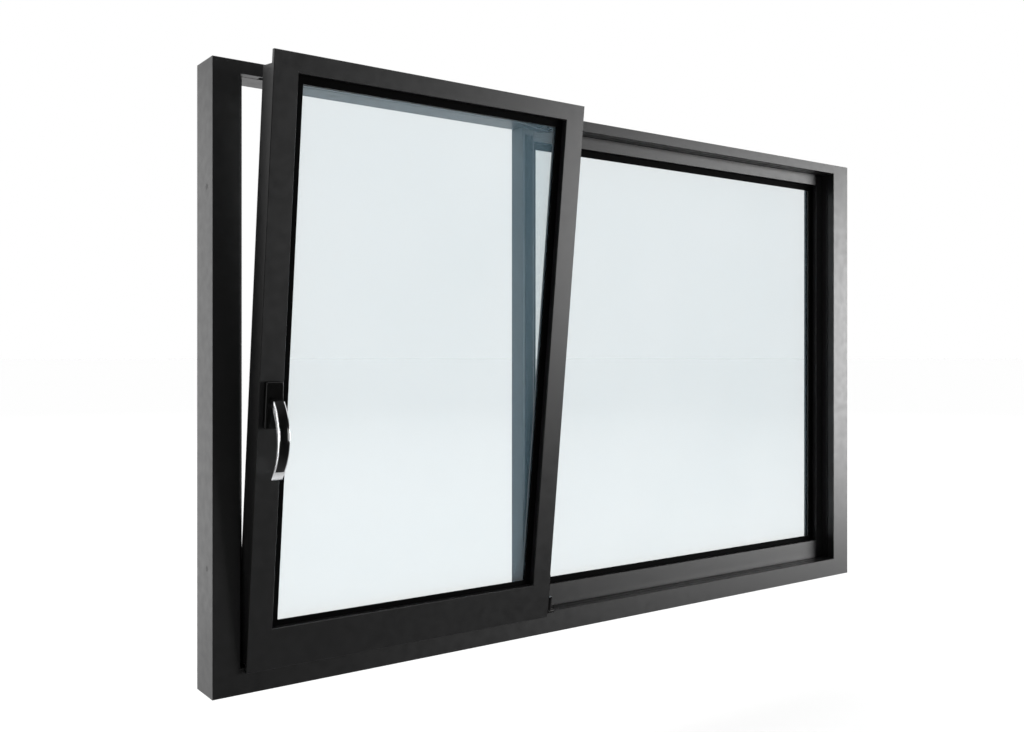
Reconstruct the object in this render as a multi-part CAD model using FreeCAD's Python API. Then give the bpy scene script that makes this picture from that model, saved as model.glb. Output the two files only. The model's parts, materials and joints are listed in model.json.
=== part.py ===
"""Tilt-and-turn window with a fixed side light: one STEP file per piece.

Everything is set out in millimetres from the frame's lower left corner on the room side:
X to the right, Y from the room to the outside, Z up.  The sash is drawn closed, then tilted
to the stored position, and every piece is moved to the row origin when it is saved.
"""
import FreeCAD
import Part
import math
import os

# ---- driving dimensions -------------------------------------------------------------------
WIDTH = 1600.0
HEIGHT = 1000.0
DEPTH = 70.0
JAMB_LEFT = 45.0
JAMB_RIGHT = 55.0
HEAD = 21.0
SILL = 41.0
WALL = 2.0
BEVEL = 0.8                 # chamfer on the room-side edges of frame and sash
EDGE = 0.6                  # chamfer on the recessed edges
GROOVE = 1.2

STOP_Y = 33.5               # plane that the closed sash and the fixed light sit against
STOP_JAMB = 15.0
STOP_SILL = 17.0
MULLION_LEFT = 625.0
MULLION_RIGHT = 651.5

SASH_LEFT = 51.0
SASH_RIGHT = 652.0
SASH_BOTTOM = 34.5
SASH_TOP = 998.0
SASH_FRONT = -10.0
FLANGE_BACK = -2.0
SASH_BACK = 31.8
BODY_BOTTOM = 47.0
BODY_TOP = 970.0
BACK_TOP = 965.2            # the top is lower behind the stay rail
BACK_TOP_Y = 17.5
FACE_ROOM = (-8.2, -3.8)    # front and back of the chamber behind the sash's face
STILE = 40.0
TOP_RAIL = 30.0
BOTTOM_RAIL = 67.0

STEP_DEPTH = 12.0           # from a face back to the glazing lip
LIP = 1.4
LIP_BACK = 3.0              # the lip ends this far outside the sight line
PANE = 4.0
CAVITY = 6.0
SPACER_TALL = 6.0
GLASS_PLAY = 2.0            # between the glass and the pocket round it
# left, right, bottom, top: gasket inside the opening, and glass behind the sight line
FIXED_SIGHT = (13.0, 13.0, 11.0, 13.0)
FIXED_COVER = (6.5, 15.0, 15.0, 15.0)
SASH_SIGHT = (13.0, 13.0, 8.5, 13.0)
SASH_COVER = (11.0, 15.0, 15.0, 6.5)
SASH_BEAD_BACK = 26.0

TILT_ANGLE = 6.6
TILT_Y = -5.0
TILT_Z = 44.0
TURN_X = 658.0

HANDLE_X = 73.0
HANDLE_Z = 462.0
SCREW_PITCH = 43.0
SPINDLE = 7.0
MODULE = 1.25
TEETH = 12
PITCH_R = MODULE * TEETH / 2
GEAR_Y = (8.0, 14.0)
ROD_THICK = 4.2
BACKLASH = 0.3
CASE_HALF = 34.0
BOLT_IN = 0.5               # the bolts' ends stand this far inside the sash

ARM_LENGTH = 300.0
ARM_WIDTH = 14.0
ARM_THICK = 2.5
ARM_Y = 10.0                # the stay's line on the closed sash
ARM_Z = 972.5
STAY_X = (334.0, 402.0)
RAIL_Y = (4.5, 15.5)
RAIL_DEEP = 4.8
STAY_PIN_Z = 969.8
SOFFIT = HEIGHT - HEAD
BRACKET = 1.8

ROSETTE = (28.0, 73.5)      # width and height
ROSETTE_FRONT = -20.0
NECK_R = 9.0
LEVER_WIDTH = 18.0
LEVER_LENGTH = 112.0
LEVER_TRIM = 1.5
LEVER_ROOT = 26.0           # from the sash's face to where the lever leaves the neck
ROOT_HALF = 8.0             # half the lever's height there
LEVER_BOW = (41.0, 52.0)    # back and front of the lever where it bows most
BOW_DROP = 36.0
LEVER_END = (41.0, 36.0)    # front and back of its end
TIP_LENGTH = 14.5
TIP_END = (24.5, 31.0)      # back and front of the tip's lower edge

PIN_R = 2.5
FIT = 0.05                  # radial running clearance
EAR_X = (662.5, 667.5)
LEAF_Z = (49.1, 72.0)
SUPPORT_X = (72.0, 90.0)

FIXING_Y = {"left": 25.0, "right": 57.0}
FIXING_R = 4.5
FIXING_Z = (200.0, 800.0)
DRAIN_X = (200.0, 800.0, 1400.0)

FRAME = (0.0, WIDTH, 0.0, HEIGHT)
FRAME_OPEN = (JAMB_LEFT, WIDTH - JAMB_RIGHT, SILL, HEIGHT - HEAD)
FIXED_FACE = (MULLION_RIGHT, WIDTH - JAMB_RIGHT, SILL, HEIGHT - HEAD)
FIXED_OPEN = (MULLION_RIGHT, 1522.5, 84.0, 953.0)
FLANGE = (SASH_LEFT, SASH_RIGHT, SASH_BOTTOM, SASH_TOP)
BODY = (SASH_LEFT, SASH_RIGHT, BODY_BOTTOM, BODY_TOP)
SASH_OPEN = (SASH_LEFT + STILE, SASH_RIGHT - STILE, SASH_BOTTOM + BOTTOM_RAIL, SASH_TOP - TOP_RAIL)

V = FreeCAD.Vector
X_AXIS = V(1, 0, 0)
Y_AXIS = V(0, 1, 0)
Z_AXIS = V(0, 0, 1)
ORIGIN = V(WIDTH / 2, DEPTH / 2, 0)
TILT_POINT = V(0, TILT_Y, TILT_Z)
SIDES = ("top", "bottom", "left", "right")


# ---- helpers ------------------------------------------------------------------------------
def box(x0, x1, y0, y1, z0, z1):
    return Part.makeBox(x1 - x0, y1 - y0, z1 - z0, V(x0, y0, z0))


def slab(rect, y0, y1):
    return box(rect[0], rect[1], y0, y1, rect[2], rect[3])


def grow(rect, d):
    return (rect[0] - d, rect[1] + d, rect[2] - d, rect[3] + d)


def grow_sides(rect, sides, more=0.0):
    """Moves each side out by its own amount: left, right, bottom, top."""
    left, right, bottom, top = (side + more for side in sides)
    return (rect[0] - left, rect[1] + right, rect[2] - bottom, rect[3] + top)


def ring(outer, inner, y0, y1):
    return slab(outer, y0, y1).cut(slab(inner, y0, y1))


def rod(x, y, z, radius, length, axis):
    return Part.makeCylinder(radius, length, V(x, y, z), axis)


def union(shapes):
    return shapes[0].multiFuse(shapes[1:]).removeSplitter()


def prism(points, vector):
    wire = Part.makePolygon(points + [points[0]])
    return Part.Face(wire).extrude(vector)


def bevel_face(shape, y, size=BEVEL):
    """Chamfers every edge that lies in the plane Y = y."""
    edges = [e for e in shape.Edges
             if abs(e.BoundBox.YMin - y) < 1e-6 and abs(e.BoundBox.YMax - y) < 1e-6]
    return shape.makeChamfer(size, edges)


def wedge(side, outer, inner):
    """Region of one side of a ring: mitred outside the inner corners, 45 degrees inside."""
    reach = 60.0
    corner = {}
    for x in (0, 1):
        for z in (2, 3):
            ix, iz = inner[x], inner[z]
            ox, oz = outer[x], outer[z]
            far = V(ix + 3 * (ox - ix), 0, iz + 3 * (oz - iz))
            near = V(ix + reach * (1, -1)[x], 0, iz + reach * (1, -1)[z - 2])
            corner[x, z] = (far, V(ix, 0, iz), near)
    pair = {"top": ((0, 3), (1, 3)), "bottom": ((0, 2), (1, 2)),
            "left": ((0, 2), (0, 3)), "right": ((1, 2), (1, 3))}[side]
    first, second = corner[pair[0]], corner[pair[1]]
    points = list(first) + list(reversed(second))
    lift = V(0, -100, 0)
    return prism([p + lift for p in points], V(0, 300, 0))


def split(shape, outer, inner):
    return {side: shape.common(wedge(side, outer, inner)) for side in SIDES}


def tilted(shape):
    """Turns a piece of the closed sash to the stored, tilted position."""
    turned = shape.copy()
    turned.rotate(TILT_POINT, X_AXIS, TILT_ANGLE)
    return turned


def save(name, shape):
    placed = shape.copy()
    placed.translate(-ORIGIN)
    placed.exportStep("parts/" + name + ".step")


def save_sash(name, shape):
    save(name, tilted(shape))


# ---- frame --------------------------------------------------------------------------------
def frame_members():
    body = bevel_face(ring(FRAME, FRAME_OPEN, 0, DEPTH), 0)
    stops = [box(JAMB_LEFT, JAMB_LEFT + STOP_JAMB, STOP_Y, DEPTH, SILL, HEIGHT - HEAD),
             box(JAMB_LEFT, MULLION_LEFT, STOP_Y, DEPTH, SILL, SILL + STOP_SILL)]
    body = union([body] + stops)
    inside, outside = grow(FRAME, -WALL), grow(FRAME_OPEN, WALL)
    body = body.cut(ring(inside, outside, WALL, STOP_Y - WALL))
    body = body.cut(ring(inside, outside, STOP_Y + 1, DEPTH - WALL))
    body = body.cut(ring(grow(FRAME_OPEN, GROOVE), FRAME_OPEN, 16, 18))
    return split(body, FRAME, FRAME_OPEN)


def cut_holes(members):
    """Pockets for the two locking bolts and holes for the wall fixings and the drains."""
    sill_pocket, head_pocket = bolt_pockets()
    members["top"] = members["top"].cut(head_pocket)
    members["bottom"] = members["bottom"].cut(sill_pocket)
    for z in FIXING_Z:
        members["left"] = members["left"].cut(fixing_drill("left", z))
        members["right"] = members["right"].cut(fixing_drill("right", z))
    for x in DRAIN_X:
        slot = box(x - 12, x + 12, DEPTH - 4, DEPTH + 1, 12, 18)
        members["bottom"] = members["bottom"].cut(slot)
    return members


def bolt_pockets():
    lower_x, upper_x = bolt_centres()
    return (box(lower_x - 5, lower_x + 5, 4.5, 20.5, WALL, SILL + 1),
            box(upper_x - 5, upper_x + 5, 4.5, 17.5, SOFFIT - 1, HEIGHT - WALL))


def fixing_drill(side, z):
    start = {"left": -1, "right": WIDTH - JAMB_RIGHT - 6}[side]
    return rod(start, FIXING_Y[side], z, FIXING_R, JAMB_RIGHT + 8, X_AXIS)


def corner_cleats():
    """L-shaped blocks that join the hollow members at the four corners."""
    gap = 0.3
    leg = 60.0
    y0, y1 = 4.0, 29.0
    inside, outside = grow(FRAME, -WALL - gap), grow(FRAME_OPEN, WALL + gap)
    cleats = ring(inside, outside, y0, y1)
    middle_x = (FRAME_OPEN[0] + leg, FRAME_OPEN[1] - leg)
    middle_z = (FRAME_OPEN[2] + leg, FRAME_OPEN[3] - leg)
    cleats = cleats.cut(box(middle_x[0], middle_x[1], y0, y1, 0, HEIGHT))
    cleats = cleats.cut(box(0, WIDTH, y0, y1, middle_z[0], middle_z[1]))
    for pocket in bolt_pockets():
        cleats = cleats.cut(pocket)
    return cleats


def drain_caps():
    caps = []
    for x in DRAIN_X:
        hood = box(x - 18, x + 18, DEPTH, DEPTH + 4, 9, 21)
        hood = hood.makeFillet(1.5, [e for e in hood.Edges if e.BoundBox.YMin > DEPTH + 3.9])
        hood = hood.cut(box(x - 14, x + 14, DEPTH, DEPTH + 2.5, 8, 16))
        plug = box(x - 11.8, x + 11.8, DEPTH - 1.9, DEPTH, 16.2, 17.8)
        caps.append(hood.fuse(plug))
    return Part.makeCompound(caps)


# ---- fixed light --------------------------------------------------------------------------
def glazing(open_rect, face_y, sight_in, cover):
    """Rectangles and depths shared by the sash's and the fixed light's glazing."""
    lip_y = face_y + STEP_DEPTH
    sight = grow_sides(open_rect, [-side for side in sight_in])
    glass_y = lip_y + LIP + 1.1
    return {
        "open": open_rect,
        "lip_y": lip_y,
        "lip": grow(sight, LIP_BACK),
        "sight": sight,
        "spacer": grow_sides(sight, cover, -SPACER_TALL),
        "glass": grow_sides(sight, cover),
        "pocket": grow_sides(sight, cover, GLASS_PLAY),
        "glass_y": glass_y,
        "glass_back": glass_y + 2 * PANE + CAVITY,
    }


FIXED_GLAZING = glazing(FIXED_OPEN, STOP_Y, FIXED_SIGHT, FIXED_COVER)
SASH_GLAZING = glazing(SASH_OPEN, SASH_FRONT, SASH_SIGHT, SASH_COVER)


def fixed_rails(g):
    """Top, bottom and right-hand rails; they butt against the mullion on the left."""
    def open_left(rect):
        return (rect[0] - 300, rect[1], rect[2], rect[3])

    outer, opening = open_left(FIXED_FACE), open_left(g["open"])
    pocket = open_left(g["pocket"])
    lip_y = g["lip_y"]
    body = bevel_face(ring(outer, opening, STOP_Y, lip_y), STOP_Y, EDGE)
    body = union([body, ring(outer, open_left(g["lip"]), lip_y, lip_y + LIP),
                  ring(outer, pocket, lip_y + LIP, DEPTH - 0.5)])
    body = body.cut(ring(grow(outer, -WALL), grow(opening, WALL), STOP_Y + WALL, lip_y - WALL))
    body = body.cut(ring(grow(outer, -WALL), grow(pocket, WALL), lip_y + LIP, DEPTH - 0.5 - WALL))
    body = body.cut(box(-400, MULLION_RIGHT, 0, DEPTH, 0, HEIGHT))
    return split(body, outer, opening)


def mullion(g):
    z0, z1 = FRAME_OPEN[2], FRAME_OPEN[3]
    post = box(MULLION_LEFT, MULLION_RIGHT, STOP_Y, DEPTH, z0, z1)
    edges = [e for e in post.Edges if e.BoundBox.YMax < STOP_Y + 1e-6 and e.BoundBox.ZLength > 1]
    post = post.makeChamfer(EDGE, edges)
    lip, pocket, lip_y = g["lip"], g["pocket"], g["lip_y"]
    flap = box(MULLION_RIGHT, lip[0], lip_y, lip_y + LIP, lip[2], lip[3])
    leg = box(MULLION_RIGHT, pocket[0], lip_y + LIP, DEPTH - 0.5, pocket[2], pocket[3])
    post = union([post, flap, leg])
    return post.cut(box(MULLION_LEFT + 3, MULLION_RIGHT - WALL, STOP_Y + WALL, DEPTH - WALL,
                        z0 + 4, z1 - 4))


# ---- glazing, the same in the sash and in the fixed light ------------------------------------
def panes(g):
    y = g["glass_y"]
    inner = bevel_face(slab(g["glass"], y, y + PANE), y, 0.5)
    outer = bevel_face(slab(g["glass"], y + PANE + CAVITY, g["glass_back"]), g["glass_back"], 0.5)
    spacer = ring(grow(g["glass"], -0.5), g["spacer"], y + PANE, y + PANE + CAVITY)
    return inner, outer, spacer


def inner_gasket(g):
    """A flat band over the lip, with a foot that turns in to the glass."""
    band = ring(grow(g["open"], -0.1), g["sight"], g["lip_y"] - 1, g["lip_y"])
    band = bevel_face(band, g["lip_y"] - 1, 0.4)
    foot = ring(grow(g["lip"], -0.1), g["sight"], g["lip_y"], g["glass_y"])
    pad = ring(g["glass"], g["lip"], g["lip_y"] + LIP, g["glass_y"])
    return union([band, foot, pad])


def outer_gasket(g):
    return ring(g["glass"], g["spacer"], g["glass_back"], g["glass_back"] + 0.8)


def beads(g, back):
    """Snap-in beads on the outside; each has a sloping face that sheds water."""
    front = g["glass_back"] + 0.8
    outer = grow(g["pocket"], -0.1)
    bar = ring(outer, g["spacer"], front, back)
    edges = [e for e in bar.Edges if e.BoundBox.YMin > back - 1e-6
             and e.BoundBox.XMin > outer[0] + 1 and e.BoundBox.XMax < outer[1] - 1
             and e.BoundBox.ZMin > outer[2] + 1 and e.BoundBox.ZMax < outer[3] - 1]
    bar = bar.makeChamfer(min(3.0, (back - front) / 2), edges)
    return split(bar, outer, g["spacer"])


def setting_blocks(g, front):
    blocks = []
    width = g["glass"][1] - g["glass"][0]
    for share in (0.2, 0.8):
        x = g["glass"][0] + share * width
        blocks.append(box(x - 40, x + 40, front + 1, front + 13, g["pocket"][2], g["glass"][2]))
    return Part.makeCompound(blocks)


def save_glazing(prefix, g, back, keep):
    inner, outer, spacer = panes(g)
    keep(prefix + "_glass_inner", inner)
    keep(prefix + "_glass_outer", outer)
    keep(prefix + "_spacer_bar", spacer)
    keep(prefix + "_gasket_inner", inner_gasket(g))
    keep(prefix + "_gasket_outer", outer_gasket(g))
    keep(prefix + "_setting_blocks", setting_blocks(g, g["glass_y"]))
    for side, bead in beads(g, back).items():
        keep(prefix + "_bead_" + side, bead)


# ---- sash ---------------------------------------------------------------------------------
def sash_members(g):
    lip_y = g["lip_y"]
    face = bevel_face(ring(FLANGE, g["open"], SASH_FRONT, FLANGE_BACK), SASH_FRONT)
    body = union([face, ring(BODY, g["open"], FLANGE_BACK, lip_y),
                  ring(BODY, g["lip"], lip_y, lip_y + LIP),
                  ring(BODY, g["pocket"], lip_y + LIP, SASH_BACK)])
    body = body.cut(ring(grow(FLANGE, -WALL), grow(g["open"], WALL), FACE_ROOM[0], FACE_ROOM[1]))
    chamber = ring(grow(BODY, -WALL), grow(g["pocket"], WALL), lip_y + LIP, SASH_BACK - WALL)
    body = body.cut(chamber.common(slab((0, WIDTH, 0, g["lip"][3]), 0, DEPTH)))
    body = body.cut(box(0, WIDTH, BACK_TOP_Y, SASH_BACK + 1, BACK_TOP, BODY_TOP + 1))
    for cutter in sash_cutters():
        body = body.cut(cutter)
    return split(body, FLANGE, g["open"])


def sash_cutters():
    """Room for the stay rail, bolts, gearbox, spindle, screws and tilt bearing."""
    x = HANDLE_X
    stay = box(STAY_X[0], STAY_X[1], RAIL_Y[0], RAIL_Y[1], BODY_TOP - RAIL_DEEP, BODY_TOP + 1)
    lower_x, upper_x = bolt_centres()
    upper = box(upper_x - 3, upper_x + 3, 6, 16, 900, BODY_TOP + 1)
    lower = box(lower_x - 3, lower_x + 3, 6, 16, BODY_BOTTOM - 1, 100)
    case = box(x - 16, x + 16, 1, 17, HANDLE_Z - CASE_HALF - 1, HANDLE_Z + CASE_HALF + 1)
    bore = rod(x, SASH_FRONT - 1, HANDLE_Z, 6.0, 15, Y_AXIS)
    notch = box(SUPPORT_X[0] - 1, SUPPORT_X[1] + 1, FACE_ROOM[0], 0, SASH_BOTTOM - 1, BODY_BOTTOM)
    screws = [rod(x, SASH_FRONT - 1, HANDLE_Z + s * SCREW_PITCH / 2, 2.7, 15, Y_AXIS)
              for s in (-1, 1)]
    return [stay, upper, lower, case, bore, notch] + screws


def sash_corner_plates(g):
    """Flat L-shaped steel plates in the front chamber, one in each corner."""
    plates = ring(grow(FLANGE, -WALL - 0.3), grow(g["open"], WALL + 0.3),
                  FACE_ROOM[0] + 0.1, FACE_ROOM[1] - 0.1)
    leg = 70.0
    opening = g["open"]
    plates = plates.cut(box(opening[0] + leg, opening[1] - leg, -20, 40, 0, HEIGHT))
    plates = plates.cut(box(0, WIDTH, -20, 40, opening[2] + leg, opening[3] - leg))
    return plates.cut(box(SUPPORT_X[0] - 1.5, SUPPORT_X[1] + 1.5, -20, 40, 0, BODY_BOTTOM + 0.5))


def weather_seals():
    """The frame's rebate gasket round three sides and the sash's own seal along the top."""
    y0 = SASH_BACK + 0.3
    strips = [box(52.5, 58.5, y0, STOP_Y, 49, 963), box(52.5, 648, y0, STOP_Y, 49, 56),
              box(630, 648, y0, STOP_Y, 49, 963)]
    seal = box(55, 648, FLANGE_BACK, -0.4, 983, 994)
    return union(strips), seal


# ---- hinges, tilt support and stay ----------------------------------------------------------
def frame_hinge():
    """Bracket on the sill with an ear that takes the tilt trunnion."""
    plate = box(EAR_X[0], EAR_X[0] + 30, 3, 30, SILL, SILL + 2.5)
    ear = union([box(EAR_X[0], EAR_X[1], TILT_Y, 12, SILL, TILT_Z + 4.5),
                 rod(EAR_X[0], TILT_Y, TILT_Z, 4.5, EAR_X[1] - EAR_X[0], X_AXIS)])
    bracket = union([plate, ear])
    for x in (EAR_X[0] + 12, EAR_X[0] + 23):
        bracket = bracket.fuse(rod(x, 17, SILL + 2.5, 3.5, 0.8, Z_AXIS))
    return bracket.cut(rod(EAR_X[0] - 1, TILT_Y, TILT_Z, PIN_R + FIT, 10, X_AXIS)).removeSplitter()


def tilt_carrier():
    """Pivot block: it tilts in the frame's ear, and the sash turns on its upright pin."""
    block = rod(TURN_X - 3.6, TILT_Y, TILT_Z, 4.4, 7.6, X_AXIS)
    collar = rod(TURN_X, TILT_Y, TILT_Z, 4.4, 4.9, Z_AXIS)
    trunnion = rod(TURN_X, TILT_Y, TILT_Z, PIN_R, EAR_X[1] - TURN_X + 0.5, X_AXIS)
    upright = rod(TURN_X, TILT_Y, TILT_Z, PIN_R, LEAF_Z[1] - TILT_Z - 6, Z_AXIS)
    return union([block, collar, trunnion, upright])


def sash_hinge_leaf():
    """Leaf on the sash's edge with a knuckle over the upright pin."""
    plate = box(SASH_RIGHT, SASH_RIGHT + 2, -8, 22, LEAF_Z[0], LEAF_Z[1] + 45)
    knuckle = rod(TURN_X, TILT_Y, LEAF_Z[0], 4.5, LEAF_Z[1] - LEAF_Z[0], Z_AXIS)
    web = box(SASH_RIGHT, TURN_X, TILT_Y - 2, TILT_Y + 2, LEAF_Z[0], LEAF_Z[1])
    leaf = union([plate, knuckle, web])
    leaf = leaf.cut(rod(TURN_X, TILT_Y, LEAF_Z[0] - 1, PIN_R + FIT, LEAF_Z[1] - LEAF_Z[0] - 2, Z_AXIS))
    for z in (LEAF_Z[1] + 12, LEAF_Z[1] + 33):
        leaf = leaf.fuse(rod(SASH_RIGHT + 2, 10, z, 3.5, 0.8, X_AXIS))
    return leaf.removeSplitter()


def stay_bracket():
    """Plate under the head with the short pin that the stay arm hooks over."""
    low = SOFFIT - BRACKET
    plate = union([box(TURN_X - 4.5, TURN_X + 32, TILT_Y, 30, low, SOFFIT),
                   rod(TURN_X, TILT_Y, low, 4.5, BRACKET, Z_AXIS)])
    front = box(TURN_X + 4.5, TURN_X + 40, -20, 0, low - 1, SOFFIT + 1)
    pin = rod(TURN_X, TILT_Y, STAY_PIN_Z, 3.0, SOFFIT - STAY_PIN_Z, Z_AXIS)
    screws = [rod(TURN_X + 24, y, low - 0.8, 3.5, 0.8, Z_AXIS) for y in (10, 22)]
    return union([plate.cut(front), pin] + screws)


def tilt_support():
    """Open-fronted cradle on the sill under the sash's handle-side corner."""
    x0, x1 = SUPPORT_X
    return union([box(x0, x1, -6.8, 0, 37, SILL - 0.2), box(x0, x1, -1.2, 0, 37, SILL + 2),
                  box(x0, x1, -1.2, 22, SILL, SILL + 2)])


def tilt_bearing():
    """Pin on the sash, in line with the tilt trunnion, that stands in the cradle."""
    x0, x1 = SUPPORT_X
    cheeks = [box(x, x + 2, FACE_ROOM[0] + 0.2, -2.2, SILL + 0.5, BODY_BOTTOM)
              for x in (x0 + 0.2, x1 - 2.2)]
    pin = rod(x0 + 0.2, TILT_Y, TILT_Z, 3.0, x1 - x0 - 0.4, X_AXIS)
    plate = box(x0 + 0.2, x1 - 0.2, FACE_ROOM[0] + 0.2, 16, BODY_BOTTOM - 1.6, BODY_BOTTOM)
    return union(cheeks + [pin, plate])


def stay_rail():
    """Steel channel let into the top of the sash."""
    y0, y1 = RAIL_Y[0] + 0.1, RAIL_Y[1] - 0.1
    x0, x1 = STAY_X[0] + 0.2, STAY_X[1] - 0.2
    low = BODY_TOP - RAIL_DEEP
    rail = box(x0, x1, y0, y1, low, BODY_TOP)
    rail = rail.cut(box(x0 + 4, x1 - 4, y0 + 1.2, y1 - 1.2, low + 0.8, BODY_TOP - 1))
    return rail.cut(box(x0 + 4, x1 - 4, y0 + 3, y1 - 3, BODY_TOP - 2, BODY_TOP + 1))


def stay_geometry():
    """Slider centre in the stored position, and the arm's angle from +X."""
    drop = math.radians(TILT_ANGLE)
    dy, dz = ARM_Y - TILT_Y, ARM_Z - TILT_Z
    y = TILT_Y + dy * math.cos(drop) - dz * math.sin(drop)
    z = TILT_Z + dy * math.sin(drop) + dz * math.cos(drop)
    angle = math.asin((TILT_Y - y) / ARM_LENGTH)
    x = TURN_X - ARM_LENGTH * math.cos(angle)
    return V(x, y, z), angle


def stay_slider():
    """Shoe in the rail with the rivet that the arm turns on."""
    pivot = stay_geometry()[0]
    low = BODY_TOP - RAIL_DEEP
    y0, y1 = RAIL_Y
    shoe = box(pivot.x - 14, pivot.x + 14, y0 + 1.6, y1 - 1.6, low + 1.1, BODY_TOP - 2.3)
    neck = box(pivot.x - 10, pivot.x + 10, y0 + 3.4, y1 - 3.4, BODY_TOP - 2.3, BODY_TOP + 0.4)
    under = pivot.z - ARM_THICK / 2
    over = pivot.z + ARM_THICK / 2
    stud = rod(pivot.x, pivot.y, under - 2.6, 2.0, ARM_THICK + 3.2, Z_AXIS)
    washer = rod(pivot.x, pivot.y, under - 0.7, 2.9, 0.6, Z_AXIS)
    head = rod(pivot.x, pivot.y, over + 0.1, 4.0, 0.8, Z_AXIS)
    return union([tilted(shoe.fuse(neck)), stud, washer, head])


def stay_arm():
    """Flat arm with a hook that reaches round the far side of the frame's pin."""
    pivot, angle = stay_geometry()
    closed = math.asin((TILT_Y - ARM_Y) / ARM_LENGTH)
    pin_x = ARM_LENGTH * math.cos(closed)
    pin_y = ARM_LENGTH * math.sin(closed)
    half = ARM_WIDTH / 2
    outline = [(0, -half), (pin_x - 10, -half), (pin_x - 5, pin_y + 4.4), (pin_x + 3.4, pin_y + 4.4),
               (pin_x + 3.4, pin_y - 4.2), (pin_x - 3.2, pin_y - 4.2), (pin_x - 3.2, pin_y - 7),
               (pin_x - 1, pin_y - 9), (pin_x + 7, pin_y - 9), (pin_x + 10, pin_y - 6),
               (pin_x + 10, half - 4), (pin_x + 6, half), (0, half)]
    arm = prism([V(x, y, 0) for x, y in outline], V(0, 0, ARM_THICK))
    arm = arm.fuse(rod(0, 0, 0, half, ARM_THICK, Z_AXIS)).removeSplitter()
    arm = arm.cut(rod(0, 0, -1, 2.0 + FIT, 10, Z_AXIS))
    arm.rotate(V(0, 0, 0), Z_AXIS, math.degrees(angle - closed))
    arm.translate(V(pivot.x, pivot.y, pivot.z - ARM_THICK / 2))
    return arm


# ---- handle and locking gear ----------------------------------------------------------------
def bolt_centres():
    """X of the lower bolt's rod and of the upper bolt's rod."""
    offset = PITCH_R + 1.05 * MODULE + ROD_THICK / 2
    return HANDLE_X - offset, HANDLE_X + offset


def involute(radius):
    """Polar angle of the tooth flank, from its root, at a radius."""
    base = PITCH_R * math.cos(math.radians(20))
    if radius <= base:
        return 0.0
    turn = math.sqrt((radius / base) ** 2 - 1)
    return turn - math.atan(turn)


def pinion():
    """Twelve-tooth pinion with a hub at each end and a square bore for the spindle."""
    tip, root = PITCH_R + 0.8 * MODULE, PITCH_R - 0.95 * MODULE
    half = math.pi / (2 * TEETH) - BACKLASH / (4 * PITCH_R) + involute(PITCH_R)
    radii = [root, 6.9, 7.1, 7.4, 7.8, 8.2, tip]
    points = []
    for tooth in range(TEETH):
        middle = (tooth + 0.5) * 2 * math.pi / TEETH
        rising = [(r, middle - half + involute(r)) for r in radii]
        falling = [(r, middle + half - involute(r)) for r in reversed(radii)]
        points += [V(HANDLE_X + r * math.cos(a), GEAR_Y[0], HANDLE_Z + r * math.sin(a))
                   for r, a in rising + falling]
    gear = prism(points, V(0, GEAR_Y[1] - GEAR_Y[0], 0))
    hub = rod(HANDLE_X, GEAR_Y[0] - 2.2, HANDLE_Z, 5.5, GEAR_Y[1] - GEAR_Y[0] + 4.4, Y_AXIS)
    return gear.fuse(hub).removeSplitter().cut(spindle())


def spindle():
    half = SPINDLE / 2
    return box(HANDLE_X - half, HANDLE_X + half, -30, 16.2, HANDLE_Z - half, HANDLE_Z + half)


def rack(side, first, last, z0, z1):
    """Flat rod with rack teeth on the side that faces the pinion; side is -1 left, +1 right."""
    pitch = math.pi * MODULE
    line = HANDLE_X + side * PITCH_R
    root = line + side * 1.05 * MODULE
    tip = line - side * 0.7 * MODULE
    slope = math.tan(math.radians(20))
    at_pitch = pitch / 4 - BACKLASH / 4
    wide, narrow = at_pitch + 1.05 * MODULE * slope, at_pitch - 0.7 * MODULE * slope
    back = root + side * ROD_THICK
    outline = [(back, z0), (root, z0)]
    for tooth in range(first, last + 1):
        z = HANDLE_Z + tooth * pitch
        outline += [(root, z - wide), (tip, z - narrow), (tip, z + narrow), (root, z + wide)]
    outline += [(root, z1), (back, z1)]
    return prism([V(x, GEAR_Y[0], z) for x, z in outline], V(0, GEAR_Y[1] - GEAR_Y[0], 0))


def gearbox_case():
    """Two channels for the racks, a bore for the pinion and two bosses for the screws."""
    x, z = HANDLE_X, HANDLE_Z
    case = box(x - 15, x + 15, 4.5, 16.6, z - CASE_HALF, z + CASE_HALF)
    y0, y1 = GEAR_Y[0] - 0.3, GEAR_Y[1] + 0.3
    case = case.cut(rod(x, y0, z, PITCH_R + MODULE + 0.4, y1 - y0, Y_AXIS))
    for side in (-1, 1):
        near = x + side * (PITCH_R - 1.2)
        far = x + side * (PITCH_R + 1.05 * MODULE + ROD_THICK + 0.3)
        case = case.cut(box(min(near, far), max(near, far), y0, y1, z - 40, z + 40))
        screw = rod(x, 4, z + side * SCREW_PITCH / 2, 2.5, 20, Y_AXIS)
        case = case.cut(screw)
    return case.cut(rod(x, 4, z, 5.5 + FIT, 20, Y_AXIS))


def rosette_cover():
    x, z = HANDLE_X, HANDLE_Z
    w, h = ROSETTE[0] / 2, ROSETTE[1] / 2
    cover = box(x - w, x + w, ROSETTE_FRONT, SASH_FRONT, z - h, z + h)
    cover = cover.makeFillet(2.5, [e for e in cover.Edges if e.BoundBox.YLength > 5])
    front = [e for e in cover.Edges if e.BoundBox.YMax < ROSETTE_FRONT + 1e-6]
    cover = cover.makeFillet(1.2, front)
    inside = box(x - w + 1.5, x + w - 1.5, ROSETTE_FRONT + 1.8, SASH_FRONT + 1, z - h + 1.5, z + h - 1.5)
    return cover.cut(inside).cut(rod(x, -40, z, NECK_R + FIT, 40, Y_AXIS))


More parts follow.
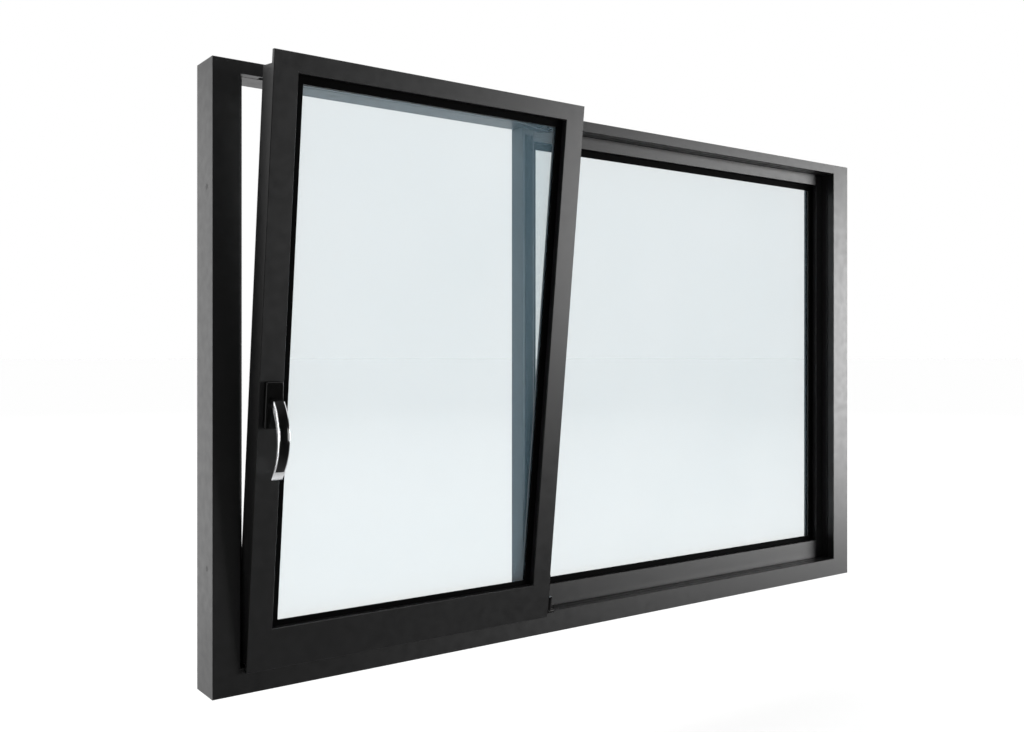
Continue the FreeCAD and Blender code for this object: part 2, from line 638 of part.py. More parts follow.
def rosette_base():
    x, z = HANDLE_X, HANDLE_Z
    w, h = ROSETTE[0] / 2 - 1.7, ROSETTE[1] / 2 - 1.7
    base = box(x - w, x + w, SASH_FRONT - 3, SASH_FRONT, z - h, z + h)
    base = base.cut(rod(x, -20, z, 6, 20, Y_AXIS))
    for side in (-1, 1):
        base = base.cut(rod(x, -20, z + side * SCREW_PITCH / 2, 2.5, 20, Y_AXIS))
    return base


def rosette_screws():
    screws = []
    for side in (-1, 1):
        z = HANDLE_Z + side * SCREW_PITCH / 2
        shank = rod(HANDLE_X, SASH_FRONT - 3, z, 2.5, 28, Y_AXIS)
        head = rod(HANDLE_X, SASH_FRONT - 5.4, z, 4.5, 2.4, Y_AXIS)
        screws.append(shank.fuse(head))
    return Part.makeCompound(screws)


def lever_point(x, out, up):
    return V(x, SASH_FRONT - out, HANDLE_Z + up)


def lever_slice(x0, x1):
    """Part of the lever between two X: it leaves the neck, bows out and comes back in."""
    root_outer, root_inner = (lever_point(x0, LEVER_ROOT, up) for up in (ROOT_HALF, -ROOT_HALF))
    end_outer, end_inner = (lever_point(x0, out, TIP_LENGTH - LEVER_LENGTH) for out in LEVER_END)
    outer = Part.Arc(root_outer, lever_point(x0, LEVER_BOW[1], -BOW_DROP), end_outer).toShape()
    end = Part.LineSegment(end_outer, end_inner).toShape()
    inner = Part.Arc(end_inner, lever_point(x0, LEVER_BOW[0], -BOW_DROP), root_inner).toShape()
    root = Part.LineSegment(root_inner, root_outer).toShape()
    return Part.Face(Part.Wire([outer, end, inner, root])).extrude(V(x1 - x0, 0, 0))


def handle_pieces():
    """Lever with its neck, the two side trims, and the tip that flares back to the sash."""
    left, right = HANDLE_X - LEVER_WIDTH / 2, HANDLE_X + LEVER_WIDTH / 2
    core = lever_slice(left + LEVER_TRIM, right - LEVER_TRIM)
    neck = rod(HANDLE_X, SASH_FRONT - LEVER_ROOT - 4, HANDLE_Z, NECK_R, LEVER_ROOT - 1, Y_AXIS)
    lever = core.fuse(neck).removeSplitter().cut(spindle())
    trims = [lever_slice(left, left + LEVER_TRIM).cut(neck),
             lever_slice(right - LEVER_TRIM, right).cut(neck)]
    outline = [lever_point(left, out, TIP_LENGTH - LEVER_LENGTH) for out in LEVER_END]
    outline += [lever_point(left, out, -LEVER_LENGTH) for out in TIP_END]
    tip = prism(outline, V(LEVER_WIDTH, 0, 0))
    return lever, Part.makeCompound(trims), tip


# ---- write every piece ----------------------------------------------------------------------
def save_frame():
    members = cut_holes(frame_members())
    save("frame_head", members["top"])
    save("frame_sill", members["bottom"])
    save("frame_jamb_left", members["left"])
    save("frame_jamb_right", members["right"])
    save("frame_corner_cleats", corner_cleats())
    save("drain_caps", drain_caps())
    save("mullion", mullion(FIXED_GLAZING))
    rails = fixed_rails(FIXED_GLAZING)
    save("fixed_rail_top", rails["top"])
    save("fixed_rail_bottom", rails["bottom"])
    for z in FIXING_Z:
        rails["right"] = rails["right"].cut(fixing_drill("right", z))
    save("fixed_stile_right", rails["right"])
    save_glazing("fixed", FIXED_GLAZING, DEPTH - 0.5, save)
    save("frame_hinge_bracket", frame_hinge())
    save("frame_stay_bracket", stay_bracket())
    save("frame_tilt_support", tilt_support())


def save_moving():
    members = sash_members(SASH_GLAZING)
    save_sash("sash_top_rail", members["top"])
    save_sash("sash_bottom_rail", members["bottom"])
    save_sash("sash_handle_stile", members["left"])
    save_sash("sash_hinge_stile", members["right"])
    save_sash("sash_corner_plates", sash_corner_plates(SASH_GLAZING))
    save_glazing("sash", SASH_GLAZING, SASH_BEAD_BACK, save_sash)
    rebate, top_seal = weather_seals()
    save("frame_rebate_gasket", rebate)
    save_sash("sash_top_seal", top_seal)
    save_sash("sash_hinge_leaf", sash_hinge_leaf())
    save_sash("sash_tilt_bearing", tilt_bearing())
    save_sash("sash_stay_rail", stay_rail())
    save_sash("tilt_carrier", tilt_carrier())
    save("stay_slider", stay_slider())
    save("stay_arm", stay_arm())


def save_handle():
    save_sash("gearbox_case", gearbox_case())
    save_sash("rosette_base", rosette_base())
    save_sash("rosette_cover", rosette_cover())
    save_sash("rosette_screws", rosette_screws())
    lever, sides, tip = handle_pieces()
    save_sash("handle_lever", lever)
    save_sash("handle_side_trim", sides)
    save_sash("handle_tip", tip)
    save_sash("handle_spindle", spindle())
    save_sash("gearbox_pinion", pinion())
    save_sash("lower_bolt_rod", rack(-1, -2, 9, BODY_BOTTOM + BOLT_IN, HANDLE_Z + CASE_HALF + 8))
    save_sash("upper_bolt_rod", rack(1, -9, 2, HANDLE_Z - CASE_HALF - 8, BODY_TOP - BOLT_IN))


os.makedirs("parts", exist_ok=True)
save_frame()
save_moving()
save_handle()
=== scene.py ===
"""Looks of the tilt-and-turn window: materials, a moulded handle, screws, lights and camera."""

import json
import math

import bpy
import bmesh
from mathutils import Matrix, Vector


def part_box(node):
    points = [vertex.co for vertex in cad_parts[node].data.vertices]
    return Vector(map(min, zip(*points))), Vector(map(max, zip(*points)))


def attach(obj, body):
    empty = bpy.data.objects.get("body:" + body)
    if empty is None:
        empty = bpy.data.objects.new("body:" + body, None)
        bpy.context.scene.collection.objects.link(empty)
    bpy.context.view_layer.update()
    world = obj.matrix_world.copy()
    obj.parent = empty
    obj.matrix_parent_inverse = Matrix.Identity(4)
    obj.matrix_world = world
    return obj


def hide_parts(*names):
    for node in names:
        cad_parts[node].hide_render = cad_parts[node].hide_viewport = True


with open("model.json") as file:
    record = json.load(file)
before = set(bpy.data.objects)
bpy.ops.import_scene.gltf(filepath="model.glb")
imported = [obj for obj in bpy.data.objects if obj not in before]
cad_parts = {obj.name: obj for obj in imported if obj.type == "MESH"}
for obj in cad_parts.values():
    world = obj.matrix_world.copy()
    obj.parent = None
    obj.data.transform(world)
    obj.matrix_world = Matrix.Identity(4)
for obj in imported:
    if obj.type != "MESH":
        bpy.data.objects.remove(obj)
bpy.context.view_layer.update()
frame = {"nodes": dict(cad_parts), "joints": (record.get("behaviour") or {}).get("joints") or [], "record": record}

MM = 0.001
RIGHT = Vector((1, 0, 0))


# ---- shader helpers -------------------------------------------------------------------------
class Shader:
    """A material's node tree with a shared object-space coordinate."""

    def __init__(self, name):
        self.material = bpy.data.materials.new(name)
        self.material.use_nodes = True
        self.tree = self.material.node_tree
        self.tree.nodes.clear()
        self.output = self.add("ShaderNodeOutputMaterial")
        self.place = self.add("ShaderNodeTexCoord").outputs["Object"]

    def add(self, kind, inputs=None, **settings):
        node = self.tree.nodes.new(kind)
        for key, value in settings.items():
            setattr(node, key, value)
        for key, value in (inputs or {}).items():
            if isinstance(value, bpy.types.NodeSocket):
                self.tree.links.new(value, node.inputs[key])
            else:
                node.inputs[key].default_value = value
        return node

    def stretched(self, scale):
        """The coordinate with each axis scaled, for streaks and brushing."""
        return self.add("ShaderNodeMapping", {"Vector": self.place, "Scale": scale}).outputs[0]

    def noise(self, scale, detail=2.0, vector=None, rough=0.5):
        node = self.add("ShaderNodeTexNoise", {"Vector": vector or self.place, "Scale": scale,
                                               "Detail": detail, "Roughness": rough})
        return node.outputs["Fac"]

    def between(self, value, low, high, start=0.3, end=0.7):
        """Maps a noise value to a range."""
        node = self.add("ShaderNodeMapRange", {"Value": value, "From Min": start, "From Max": end,
                                               "To Min": low, "To Max": high})
        return node.outputs["Result"]

    def blend(self, value, first, second):
        """Colour that goes from first to second with a value from 0 to 1."""
        node = self.add("ShaderNodeMix", data_type="RGBA")
        self.tree.links.new(value, node.inputs[0])
        node.inputs[6].default_value = (*first, 1)
        node.inputs[7].default_value = (*second, 1)
        return node.outputs[2]

    def bump(self, height, strength, distance, normal=None):
        inputs = {"Height": height, "Strength": strength, "Distance": distance}
        if normal is not None:
            inputs["Normal"] = normal
        return self.add("ShaderNodeBump", inputs).outputs[0]

    def surface(self, shader):
        self.tree.links.new(shader, self.output.inputs["Surface"])
        return self.material

    def principled(self, **inputs):
        named = {key.replace("_", " "): value for key, value in inputs.items()}
        return self.surface(self.add("ShaderNodeBsdfPrincipled", named).outputs[0])


# ---- materials ------------------------------------------------------------------------------
def powder_coat(name, dark, light, gloss):
    """Satin black powder coat: orange-peel skin over a slightly uneven film, and cloudy sheen."""
    s = Shader(name)
    peel = s.noise(900, 2)
    cloud = s.noise(7, 4)
    haze = s.noise(60, 3)
    skin = s.bump(peel, 0.22, 0.00006)
    skin = s.bump(s.noise(140, 2), 0.10, 0.0001, skin)
    return s.principled(
        Base_Color=s.blend(s.between(cloud, 0, 1), dark, light),
        Roughness=s.between(haze, gloss - 0.03, gloss + 0.04),
        Normal=skin,
    )


def rubber():
    """Extruded EPDM: dead black, with a fine drag texture."""
    s = Shader("epdm_rubber")
    grain = s.noise(1600, 3)
    return s.principled(
        Base_Color=s.blend(s.between(s.noise(30, 3), 0, 1), (0.0003,) * 3, (0.0009,) * 3),
        Roughness=s.between(grain, 0.72, 0.86),
        Specular_IOR_Level=0.05,
        Normal=s.bump(grain, 0.25, 0.00005),
    )


def brushed_metal(name, dark, light, rough, along):
    """Rolled or plated steel: long fine scratches in one direction over cloudy plating."""
    s = Shader(name)
    scratches = s.noise(1, 5, s.stretched(along), 0.7)
    cloud = s.noise(45, 4)
    return s.principled(
        Base_Color=s.blend(s.between(cloud, 0, 1), dark, light),
        Metallic=1.0,
        Roughness=s.between(scratches, rough - 0.08, rough + 0.1),
        Normal=s.bump(scratches, 0.18, 0.00008),
    )


def cast_metal():
    """Die-cast aluminium: pitted and dull."""
    s = Shader("cast_aluminium")
    pits = s.add("ShaderNodeTexVoronoi", {"Vector": s.place, "Scale": 700.0}).outputs["Distance"]
    cloud = s.noise(80, 4)
    return s.principled(
        Base_Color=s.blend(s.between(cloud, 0, 1), (0.42, 0.42, 0.43), (0.6, 0.6, 0.61)),
        Metallic=1.0,
        Roughness=s.between(cloud, 0.42, 0.6),
        Normal=s.bump(pits, 0.35, 0.0002),
    )


def moulded_nylon():
    """Black nylon with a spark-eroded mould finish."""
    s = Shader("moulded_nylon")
    grain = s.noise(2200, 2)
    return s.principled(
        Base_Color=s.blend(s.between(s.noise(50, 3), 0, 1), (0.010,) * 3, (0.018,) * 3),
        Roughness=s.between(grain, 0.42, 0.58),
        Normal=s.bump(grain, 0.3, 0.00005),
    )


def spacer_bar():
    """Warm-edge spacer: matt black strip with a row of fine desiccant slots."""
    s = Shader("spacer_bar")
    slots = s.add("ShaderNodeTexVoronoi", {"Vector": s.place, "Scale": 330.0}).outputs["Distance"]
    return s.principled(
        Base_Color=s.blend(s.between(slots, 0, 1, 0.12, 0.2), (0.0005,) * 3, (0.006,) * 3),
        Roughness=s.between(s.noise(300, 2), 0.55, 0.7),
        Normal=s.bump(slots, 0.3, 0.0003),
    )


def gloss_black():
    """Piano-black lacquer on the handle: deep, with a trace of polishing haze."""
    s = Shader("handle_gloss_black")
    haze = s.noise(220, 4)
    return s.principled(
        Base_Color=s.blend(s.between(s.noise(90, 2), 0, 1), (0.0012,) * 3, (0.003,) * 3),
        Roughness=s.between(haze, 0.10, 0.17),
        Specular_IOR_Level=0.3,
        Coat_Weight=0.15,
        Coat_Roughness=0.04,
        Normal=s.bump(s.noise(260, 2), 0.05, 0.00005),
    )


def chrome():
    """Polished chrome with the faint drag lines of the buffing wheel."""
    s = Shader("handle_chrome")
    lines = s.noise(1, 4, s.stretched((1500, 1500, 60)), 0.6)
    return s.principled(
        Base_Color=s.blend(s.between(s.noise(70, 2), 0, 1), (0.82, 0.83, 0.85), (0.9, 0.9, 0.91)),
        Metallic=1.0,
        Roughness=s.between(lines, 0.14, 0.26),
        Normal=s.bump(lines, 0.08, 0.00004),
    )


def pane_glass(name, haze):
    """Thin float-glass pane: faint tint, mirror by angle, and a cool film of haze if it's dusty."""
    s = Shader(name)
    cloud = s.noise(3.2, 3)
    tint = s.blend(s.between(cloud, 0, 1), (0.980, 0.986, 0.984), (0.986, 0.990, 0.988))
    clear = s.add("ShaderNodeBsdfTransparent", {"Color": tint}).outputs[0]
    film = s.blend(s.between(s.noise(6, 4), 0, 1), (0.45, 0.72, 0.90), (0.52, 0.78, 0.95))
    veil = s.add("ShaderNodeBsdfDiffuse", {"Color": film}).outputs[0]
    gloss = s.add("ShaderNodeBsdfGlossy", {"Color": (1, 1, 1, 1),
                                           "Roughness": s.between(s.noise(40, 3), 0.01, 0.05)})
    facing = s.add("ShaderNodeLayerWeight", {"Blend": 0.5}).outputs["Facing"]
    steep = s.add("ShaderNodeMath", {0: facing, 1: 5.0}, operation="POWER").outputs[0]
    mirror = s.between(steep, 0.013, 0.9, 0, 1)
    body = s.add("ShaderNodeMixShader", {"Fac": haze, 1: clear, 2: veil}).outputs[0]
    return s.surface(s.add("ShaderNodeMixShader",
                           {"Fac": mirror, 1: body, 2: gloss.outputs[0]}).outputs[0])


SATIN = 0.36
MATERIALS = {
    "frame_coat": powder_coat("frame_coat", (0.0050, 0.0050, 0.0052), (0.0068, 0.0068, 0.0070),
                              SATIN),
    # the sash's coat is the frame's black painted a shade lighter: painted light, standing in for the tilted sash
    # catching more light than the frame
    "sash_coat": powder_coat("sash_coat", (0.0060, 0.0060, 0.0062), (0.0080, 0.0080, 0.0083),
                             SATIN),
    "cast_aluminium": cast_metal(),
    "zinc_steel": brushed_metal("zinc_steel", (0.50, 0.50, 0.47), (0.66, 0.66, 0.64), 0.3,
                                (1800, 1800, 40)),
    "hinge_steel": brushed_metal("hinge_steel", (0.022, 0.022, 0.025), (0.05, 0.048, 0.046),
                                 SATIN, (60, 1500, 1500)),
    "glass": pane_glass("float_glass", 0.0),
    "spacer": spacer_bar(),
    "gasket": rubber(),
    "nylon": moulded_nylon(),
    "handle_black": gloss_black(),
    "handle_chrome": chrome(),
}


def dress(piece, slot):
    piece.data.materials.clear()
    piece.data.materials.append(MATERIALS[slot])


for part in frame["record"]["subparts"]:
    dress(frame["nodes"][part["node"]], part["material_slot"])

# the outside panes carry a film of haze
DUSTY_GLASS = pane_glass("float_glass_outside", 0.11)
for unit in ("sash", "fixed"):
    frame["nodes"][unit + "_glass_outer"].data.materials[0] = DUSTY_GLASS


# ---- mesh helpers ---------------------------------------------------------------------------
def turns(count):
    """Angles evenly round a circle."""
    return [math.tau * i / count for i in range(count)]


def joint(name):
    return next(j for j in frame["joints"] if j["name"] == name)


def add_piece(name, mesh, body, slot):
    piece = bpy.data.objects.new(name, mesh)
    bpy.context.scene.collection.objects.link(piece)
    dress(piece, slot)
    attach(piece, body)
    return piece


def skin(name, loops, sharp_angle=35.0):
    """Mesh over a row of closed loops of the same length, with a cap at each end."""
    bm = bmesh.new()
    rings = [[bm.verts.new(p) for p in loop] for loop in loops]
    count = len(rings[0])
    for first, second in zip(rings, rings[1:]):
        for i in range(count):
            j = (i + 1) % count
            bm.faces.new((first[i], first[j], second[j], second[i]))
    bm.faces.new(list(reversed(rings[0])))
    bm.faces.new(rings[-1])
    bmesh.ops.recalc_face_normals(bm, faces=bm.faces)
    for face in bm.faces:
        face.smooth = True
    for edge in bm.edges:
        edge.smooth = edge.calc_face_angle(0) < math.radians(sharp_angle)
    mesh = bpy.data.meshes.new(name)
    bm.to_mesh(mesh)
    bm.free()
    return mesh


def rounded_rectangle(width, height, radius, crown=0.0, steps=5):
    """Points of a rounded rectangle about the origin; crown bulges the upper side."""
    points = []
    for k, (sx, sy) in enumerate(((1, 1), (-1, 1), (-1, -1), (1, -1))):
        for step in range(steps + 1):
            angle = math.radians(90 * (k + step / steps))
            x = sx * (width / 2 - radius) + radius * math.cos(angle)
            y = sy * (height / 2 - radius) + radius * math.sin(angle)
            points.append((x, y))
        if k == 0:
            span = width / 2 - radius
            points += [(span * (1 - 2 * i / steps), height / 2) for i in range(1, steps)]
    return [(x, y + crown * (1 - (2 * x / width) ** 2) if y > 0 else y) for x, y in points]


def arc(first, middle, last, count):
    """Points on the circle through three points of a plane, from the first to the last."""
    (ax, ay), (bx, by), (cx, cy) = first, middle, last
    d = 2 * (ax * (by - cy) + bx * (cy - ay) + cx * (ay - by))
    a2, b2, c2 = ax * ax + ay * ay, bx * bx + by * by, cx * cx + cy * cy
    ox = (a2 * (by - cy) + b2 * (cy - ay) + c2 * (ay - by)) / d
    oy = (a2 * (cx - bx) + b2 * (ax - cx) + c2 * (bx - ax)) / d
    start = math.atan2(ay - oy, ax - ox)
    via = (math.atan2(by - oy, bx - ox) - start) % math.tau
    turn = (math.atan2(cy - oy, cx - ox) - start) % math.tau
    if via > turn:
        turn -= math.tau
    radius = math.hypot(ax - ox, ay - oy)
    angles = [start + turn * i / (count - 1) for i in range(count)]
    return [(ox + radius * math.cos(a), oy + radius * math.sin(a)) for a in angles]


# ---- handle ---------------------------------------------------------------------------------
PIVOT = Vector(joint("handle_turn")["pos_m"])
OUT = Vector(joint("handle_turn")["axis"])
UP = Vector(joint("sash_turn")["axis"])
LEVER_WIDTH = (18.0, 17.2)           # at the root and at the end
LEVER_CROWN = 1.3
NECK_SIDES = 40
TRIM = 1.5
STATIONS = 26
END_UP = -97.5
# out and up of the lever's outer and inner lines, at the root, the bow and the end
OUTER_LINE = ((16, 9), (42, -36), (31, END_UP))
INNER_LINE = ((16, -9), (31.5, -36), (26, END_UP))
TIP_UP = -112.0
TIP_OUT = (14.5, 21.0)               # back and front of the tip's lower edge
ROSETTE_HEIGHT = 73.5


def on_handle(x, out, up):
    """Point from the handle's pivot, in millimetres: right, out from the sash, and up."""
    return PIVOT + (RIGHT * x + OUT * out + UP * up) * MM


def lever_loops(width_at, centre_at, extra, radius, crown):
    """Cross-sections of one strip of the lever, from its root to its end."""
    outer, inner = arc(*OUTER_LINE, STATIONS), arc(*INNER_LINE, STATIONS)
    loops = []
    for k, ((o_out, o_up), (i_out, i_up)) in enumerate(zip(outer, inner)):
        share = k / (STATIONS - 1)
        thick = math.hypot(o_out - i_out, o_up - i_up)
        across = ((o_out - i_out) / thick, (o_up - i_up) / thick)
        middle = ((o_out + i_out) / 2, (o_up + i_up) / 2)
        corner = min(radius, width_at(share) / 2.05, (thick + extra) / 2.05)
        shape = rounded_rectangle(width_at(share), thick + extra, corner, crown)
        loops.append([on_handle(centre_at(share) + x, middle[0] + across[0] * y,
                                middle[1] + across[1] * y) for x, y in shape])
    return loops


def full_width(share):
    return LEVER_WIDTH[0] + (LEVER_WIDTH[1] - LEVER_WIDTH[0]) * share


def make_lever():
    grip = skin("lever_grip", lever_loops(lambda t: full_width(t) - 2 * TRIM + 0.4, lambda t: 0.0,
                                          0.0, 1.2, LEVER_CROWN))
    grip = add_piece("lever_grip", grip, "handle", "handle_black")
    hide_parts("handle_lever")
    neck_profile = [(0.2, 9.4), (0.6, 9.8), (1.2, 9.9), (2.2, 9.3), (3.6, 9.0), (16.5, 9.0),
                    (18.5, 8.7), (19.6, 7.6), (20.0, 5.0)]
    loops = []
    for out, radius in neck_profile:
        loops.append([on_handle(radius * math.cos(angle), out - 1.0, radius * math.sin(angle))
                      for angle in turns(NECK_SIDES)])
    add_piece("lever_neck", skin("lever_neck", loops), "handle", "handle_black")
    for side, word in ((-1, "left"), (1, "right")):
        def centre(t, side=side):
            return side * (full_width(t) - TRIM) / 2
        mesh = skin("lever_trim_" + word, lever_loops(lambda t: TRIM, centre, -0.6, 0.6, 0.0))
        trim = add_piece("lever_trim_" + word, mesh, "handle", "handle_chrome")
        if side < 0:
            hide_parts("handle_side_trim")
    tip_top, tip_end = (OUTER_LINE[-1][0], INNER_LINE[-1][0]), TIP_OUT
    loops = []
    for share, swell in ((0, 0.0), (0.08, 0.5), (0.5, 0.6), (0.92, 0.5), (1.0, -0.4)):
        front = tip_top[0] + (tip_end[1] - tip_top[0]) * share + swell / 2
        back = tip_top[1] + (tip_end[0] - tip_top[1]) * share - swell / 2
        up = END_UP + (TIP_UP - END_UP) * share
        shape = rounded_rectangle(LEVER_WIDTH[1] + 0.4 + swell, front - back, 0.9)
        loops.append([on_handle(x, (front + back) / 2 + y, up) for x, y in shape])
    tip = add_piece("lever_tip", skin("lever_tip", loops), "handle", "handle_chrome")
    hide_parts("handle_tip")


def make_rosette():
    """Cover plate with a soft rim: flat front, rounded edge, straight side."""
    low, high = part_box("rosette_cover")
    width = (high.x - low.x) / MM
    loops = []
    for out, inset in ((-10.0, 0.0), (-1.6, 0.0), (-0.8, 0.25), (-0.3, 0.7), (0.0, 1.4),
                       (0.05, 4.0)):
        shape = rounded_rectangle(width - 2 * inset, ROSETTE_HEIGHT - 2 * inset,
                                  max(0.8, 2.6 - inset))
        loops.append([on_handle(x, out, up) for x, up in shape])
    cover = add_piece("rosette_plate", skin("rosette_plate", loops, 60), "sash", "handle_black")
    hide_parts("rosette_cover")


def make_corner_cap():
    """Coated end cap of the gear groove, at the top of the sash's left edge."""
    profile = [(-18.0, 507.6), (-18.0, 514.9), (-18.6, 515.5), (-51.2, 515.5), (-51.8, 514.9),
               (-51.8, 503.0), (-37.5, 503.0), (-37.5, 507.6)]
    loops = [[on_handle(x, out, up) for out, up in profile] for x in (-22.0, -4.0)]
    add_piece("sash_corner_cap", skin("sash_corner_cap", loops), "sash", "sash_coat")


make_lever()
make_rosette()
make_corner_cap()


# ---- screws ---------------------------------------------------------------------------------
def add_screw(name, centre, normal, body):
    """Low domed head with a six-lobed recess. The profile holds radius, height and lobe."""
    normal = normal.normalized()
    side = normal.orthogonal().normalized()
    other = normal.cross(side)
    profile = [(3.65, 0.0, 0.0), (3.65, 0.45, 0.0), (3.3, 0.85, 0.0), (2.3, 1.02, 0.0),
               (1.55, 1.05, 0.22), (1.45, 0.95, 0.24), (1.4, 0.25, 0.24), (0.3, 0.15, 0.0)]
    loops = []
    for radius, height, lobe in profile:
        loop = []
        for angle in turns(48):
            r = radius + lobe * math.cos(6 * angle)
            loop.append(centre + (side * math.cos(angle) + other * math.sin(angle)) * r * MM
                        + normal * height * MM)
        loops.append(loop)
    add_piece(name, skin(name, loops), body, "zinc_steel")


def make_screws():
    low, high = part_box("frame_hinge_bracket")
    for k, x in enumerate((12, 23)):
        spot = Vector((low.x + x * MM, high.y - 13 * MM, low.z + 2.5 * MM))
        add_screw(f"hinge_bracket_screw_{k + 1}", spot, Vector((0, 0, 1)), "frame")
    low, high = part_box("frame_stay_bracket")
    for k, y in enumerate((20, 8)):
        spot = Vector((high.x - 8 * MM, high.y - y * MM, high.z - 1.8 * MM))
        add_screw(f"stay_bracket_screw_{k + 1}", spot, Vector((0, 0, -1)), "frame")
    turn = Vector(joint("sash_turn")["pos_m"])
    for k, up in enumerate((40.0, 61.0)):
        spot = turn + (RIGHT * -4.0 - OUT * 15.0 + UP * up) * MM
        add_screw(f"hinge_leaf_screw_{k + 1}", spot, RIGHT, "sash")


make_screws()


# ---- covers over the wall-fixing holes ------------------------------------------------------
def make_covers():
    """Push-in cap, coated like the frame, in the outer end of each hole through the jambs."""
    low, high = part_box("frame_jamb_left")[0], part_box("frame_jamb_right")[1]
    sides = (("left", low.x, 1, 25.0), ("right", high.x, -1, 57.0))
    for side, face, inward, back in sides:
        for word, up in (("lower", 200.0), ("upper", 800.0)):
            loops = []
            for sunk, radius in ((4.0, 4.45), (0.12, 4.45), (0.02, 4.35), (0.02, 0.6)):
                centre = Vector((face + inward * sunk * MM, low.y + back * MM, low.z + up * MM))
                loops.append([centre + Vector((0, math.cos(a), math.sin(a))) * radius * MM
                              for a in turns(40)])
            name = f"fixing_cover_{side}_{word}"
            add_piece(name, skin(name, loops), "frame", "frame_coat")


make_covers()


# ---- studio ---------------------------------------------------------------------------------
FLOOR_DROP = -0.25
MIDDLE = (0.5, 0.0, 0.5)             # what the key light looks at


def make_world():
    """White to the eye; to reflections, white behind the window and dim in front of it."""
    world = bpy.data.worlds.new("studio")
    bpy.context.scene.world = world
    world.use_nodes = True
    tree = world.node_tree
    tree.nodes.clear()

    def add(kind, **settings):
        node = tree.nodes.new(kind)
        for key, value in settings.items():
            setattr(node, key, value)
        return node

    def ramp(socket, stops):
        node = add("ShaderNodeValToRGB")
        tree.links.new(socket, node.inputs[0])
        while len(node.color_ramp.elements) < len(stops):
            node.color_ramp.elements.new(0.5)
        for element, (position, grey) in zip(node.color_ramp.elements, stops):
            element.position = position
            element.color = (grey, grey, grey, 1)
        return node.outputs[0]

    def mapped(socket):
        node = add("ShaderNodeMapRange")
        tree.links.new(socket, node.inputs[0])
        node.inputs[1].default_value = -1
        return node.outputs[0]

    axes = add("ShaderNodeSeparateXYZ")
    tree.links.new(add("ShaderNodeTexCoord").outputs["Generated"], axes.inputs[0])
    height = ramp(mapped(axes.outputs["Z"]), ((0.0, 0.6), (0.2, 0.12), (0.375, 0.07), (0.5, 0.07),
                                              (0.8, 0.08), (1.0, 0.5)))
    behind = ramp(mapped(axes.outputs["Y"]), ((0.42, 0.0), (0.60, 1.0)))
    mix = add("ShaderNodeMix", data_type="RGBA")
    tree.links.new(behind, mix.inputs[0])
    tree.links.new(height, mix.inputs[6])
    mix.inputs[7].default_value = (1, 1, 1, 1)
    seen = add("ShaderNodeMix", data_type="RGBA")
    tree.links.new(add("ShaderNodeLightPath").outputs["Is Camera Ray"], seen.inputs[0])
    tree.links.new(mix.outputs[2], seen.inputs[6])
    seen.inputs[7].default_value = (1, 1, 1, 1)
    background = add("ShaderNodeBackground")
    tree.links.new(seen.outputs[2], background.inputs[0])
    output = add("ShaderNodeOutputWorld")
    tree.links.new(background.outputs[0], output.inputs[0])


def add_light(name, kind):
    light = bpy.data.objects.new(name, bpy.data.lights.new(name, kind))
    bpy.context.scene.collection.objects.link(light)
    return light


def add_area(name, place, target, size, radiance):
    """Soft box: radiance is what its face looks like, so power follows from its area."""
    light = add_light(name, "AREA")
    light.data.shape = "RECTANGLE"
    light.data.size, light.data.size_y = size
    light.data.energy = radiance * math.pi * size[0] * size[1]
    light.location = place
    light.rotation_euler = (Vector(target) - Vector(place)).to_track_quat("-Z", "Y").to_euler()
    light.visible_camera = False
    return light


def link_light(light, names, state):
    """Makes a light shine on these objects only, or on everything but them."""
    group = bpy.data.collections.new(light.name + "_on")
    for name in names:
        group.objects.link(bpy.data.objects[name])
    for member in group.collection_objects:
        member.light_linking.link_state = state
    light.light_linking.receiver_collection = group


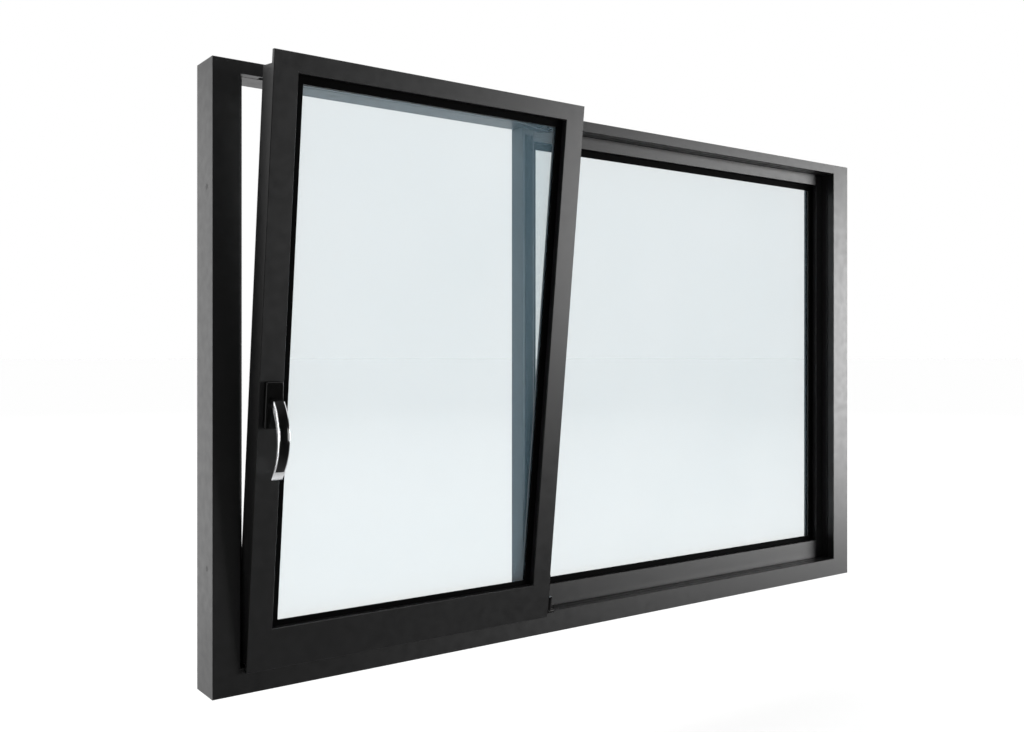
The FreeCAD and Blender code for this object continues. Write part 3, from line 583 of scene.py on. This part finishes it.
def make_floor():
    """Plain floor below the window, a little darker far off, so that no horizon shows."""
    bm = bmesh.new()
    bmesh.ops.create_grid(bm, x_segments=8, y_segments=8, size=400)
    mesh = bpy.data.meshes.new("floor")
    bm.to_mesh(mesh)
    bm.free()
    floor = bpy.data.objects.new("floor", mesh)
    floor.location.z = FLOOR_DROP
    bpy.context.scene.collection.objects.link(floor)
    s = Shader("floor_white")
    reach = s.add("ShaderNodeVectorMath", {0: s.place}, operation="LENGTH").outputs["Value"]
    cloud = s.between(s.noise(0.8, 3), 0.95, 1.0)
    fade = s.add("ShaderNodeMath", {0: s.between(reach, 1, 0, 3, 14), 1: cloud},
                 operation="MULTIPLY").outputs[0]
    s.surface(s.add("ShaderNodeBsdfDiffuse",
                    {"Color": s.blend(fade, (0.456,) * 3, (0.505,) * 3)}).outputs[0])
    mesh.materials.append(s.material)
    floor.visible_glossy = False
    floor.visible_shadow = False


def make_camera():
    data = bpy.data.cameras.new("camera")
    data.sensor_width = 36.0
    data.lens = 36.035
    data.shift_y = -0.0088
    camera = bpy.data.objects.new("camera", data)
    camera.location = (-1.3615, -1.5910, 0.5325)
    camera.rotation_euler = (math.radians(90), 0, math.radians(-36.126))
    bpy.context.scene.collection.objects.link(camera)
    bpy.context.scene.camera = camera


def make_lights():
    """Key from the right, a soft top light, and small lights linked to single parts."""
    panes = [frame["nodes"][unit + "_glass_" + side].name for unit in ("sash", "fixed")
             for side in ("inner", "outer")]
    key = add_area("key_right", (7.2, -4.9, 0.70), MIDDLE, (4.9, 3.2), 12.0)
    link_light(key, [*panes, "floor"], "EXCLUDE")
    edge = add_area("strip_left_back", (-2.6, 4.8, 0.5), (-0.8, 0.0, 0.5), (3.4, 3.4), 0.55)
    link_light(edge, ["frame_jamb_left"], "INCLUDE")
    kicker = add_area("handle_kicker", (-2.4, 3.4, 0.6), (-0.73, -0.1, 0.42), (2.6, 2.6), 3.0)
    kicker.data.use_shadow = False
    link_light(kicker, ["lever_trim_left"], "INCLUDE")
    overhead = add_area("overhead", (0.0, -0.5, 5.0), (0.0, 0.0, 0.0), (9.0, 9.0), 0.8)
    link_light(overhead, ["floor", "lever_grip"], "EXCLUDE")
    sun = add_light("floor_sun", "SUN")
    sun.data.energy = 4.93
    sun.data.angle = math.radians(70)
    sun.data.use_shadow = False
    link_light(sun, ["floor"], "INCLUDE")


make_world()
make_floor()
make_camera()
make_lights()
bpy.context.scene.view_settings.view_transform = "Standard"
